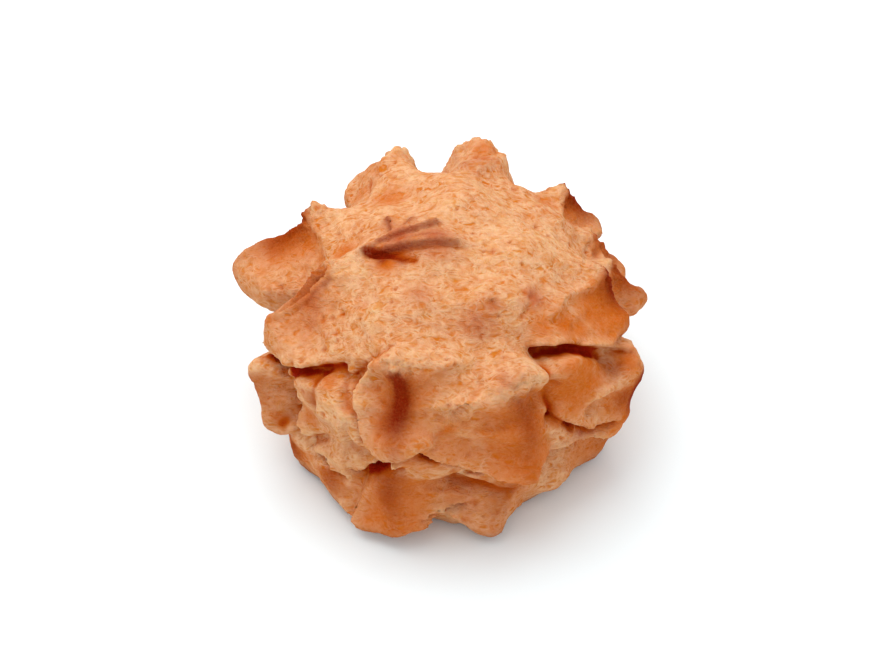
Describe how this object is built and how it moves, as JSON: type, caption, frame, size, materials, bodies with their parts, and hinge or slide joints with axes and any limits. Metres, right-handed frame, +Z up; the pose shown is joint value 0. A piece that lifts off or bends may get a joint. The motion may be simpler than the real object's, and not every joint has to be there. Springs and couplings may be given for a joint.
{
  "type": "cream puff",
  "caption": "Round bun of baked choux paste with a domed crown, a rough ridged and lobed browned crust, and a flat foot that it stands on.",
  "frame": {"origin": "centre of the flat foot that the bun stands on", "axes": "+Z up out of the crown, -Y towards the front, +X to the right seen from the front"},
  "size_m": [0.0759, 0.073, 0.0498],
  "materials": {
    "choux_crust": "baked egg-washed crust, satin, golden brown with darker ridges"
  },
  "bodies": {
    "root": {"choux_bun": "choux_crust"}
  },
  "joints": []
}
